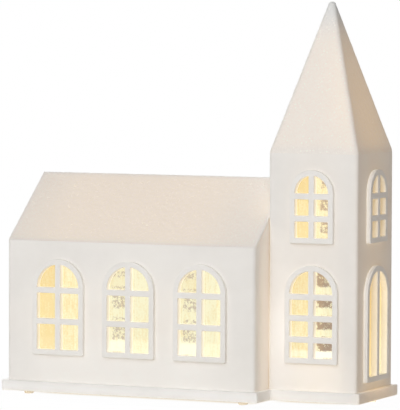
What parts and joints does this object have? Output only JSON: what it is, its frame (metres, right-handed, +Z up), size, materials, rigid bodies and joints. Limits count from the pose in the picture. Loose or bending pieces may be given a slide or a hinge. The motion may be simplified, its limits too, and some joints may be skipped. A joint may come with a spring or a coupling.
{
  "type": "lit porcelain village church",
  "caption": "White porcelain Christmas village church with a gabled nave, a square tower with a spire, arched windows and battery lamps inside.",
  "frame": {"origin": "on the surface the feet stand on, under the middle of the outline", "axes": "+X from the nave toward the tower, -Y out of the front that the picture shows, +Z up"},
  "size_m": [0.2714, 0.122, 0.2852],
  "materials": {
    "porcelain_bare": "unglazed bisque porcelain, matte",
    "porcelain_snow": "bisque porcelain with a granular sugar-snow coat",
    "porcelain_frame": "unglazed porcelain castings, smooth",
    "clear_film": "embossed clear film",
    "white_abs": "moulded ABS, fine spark texture",
    "black_abs": "moulded nylon",
    "clear_pu": "clear polyurethane bumper",
    "plated_steel": "nickel-plated",
    "cell_can": "shrink-sleeved can, plain",
    "circuit_board": "white solder mask on glass-epoxy",
    "led_lens": "diffusing epoxy",
    "lead_jacket": "white PVC"
  },
  "bodies": {
    "house": {"plinth": "porcelain_bare", "nave_walls": "porcelain_bare", "tower_walls": "porcelain_bare", "nave_roof": "porcelain_snow", "spire": "porcelain_snow", "nave_front_windows": "porcelain_frame", "nave_back_windows": "porcelain_frame", "tower_front_lower_window": "porcelain_frame", "tower_front_upper_window": "porcelain_frame", "tower_back_lower_window": "porcelain_frame", "tower_back_upper_window": "porcelain_frame", "tower_side_upper_window": "porcelain_frame", "tower_door": "porcelain_frame", "nave_front_panes": "clear_film", "nave_back_panes": "clear_film", "tower_front_panes": "clear_film", "tower_back_panes": "clear_film", "tower_side_panes": "clear_film", "nave_tray": "white_abs", "tower_tray": "white_abs", "fixing_blocks": "white_abs", "tray_screws": "plated_steel", "bumper_feet": "clear_pu", "aa_cells": "cell_can", "battery_springs": "plated_steel", "battery_plates": "plated_steel", "switch_housing": "black_abs", "nave_led_board": "circuit_board", "tower_led_board": "circuit_board", "nave_leds": "led_lens", "tower_led": "led_lens", "leads": "lead_jacket"},
    "switch_knob": {"switch_knob": "black_abs"},
    "battery_cover": {"battery_cover": "white_abs"}
  },
  "joints": [
    {"name": "switch_slide", "type": "slide", "parent": "house", "child": "switch_knob", "axis": [1, 0, 0], "range_m": [-0.0025, 0.0025]},
    {"name": "battery_cover_hinge", "type": "hinge", "parent": "house", "child": "battery_cover", "pos_m": [-0.1141, 0, 0.0054], "axis": [0, 1, 0], "range_deg": [0, 100]}
  ]
}
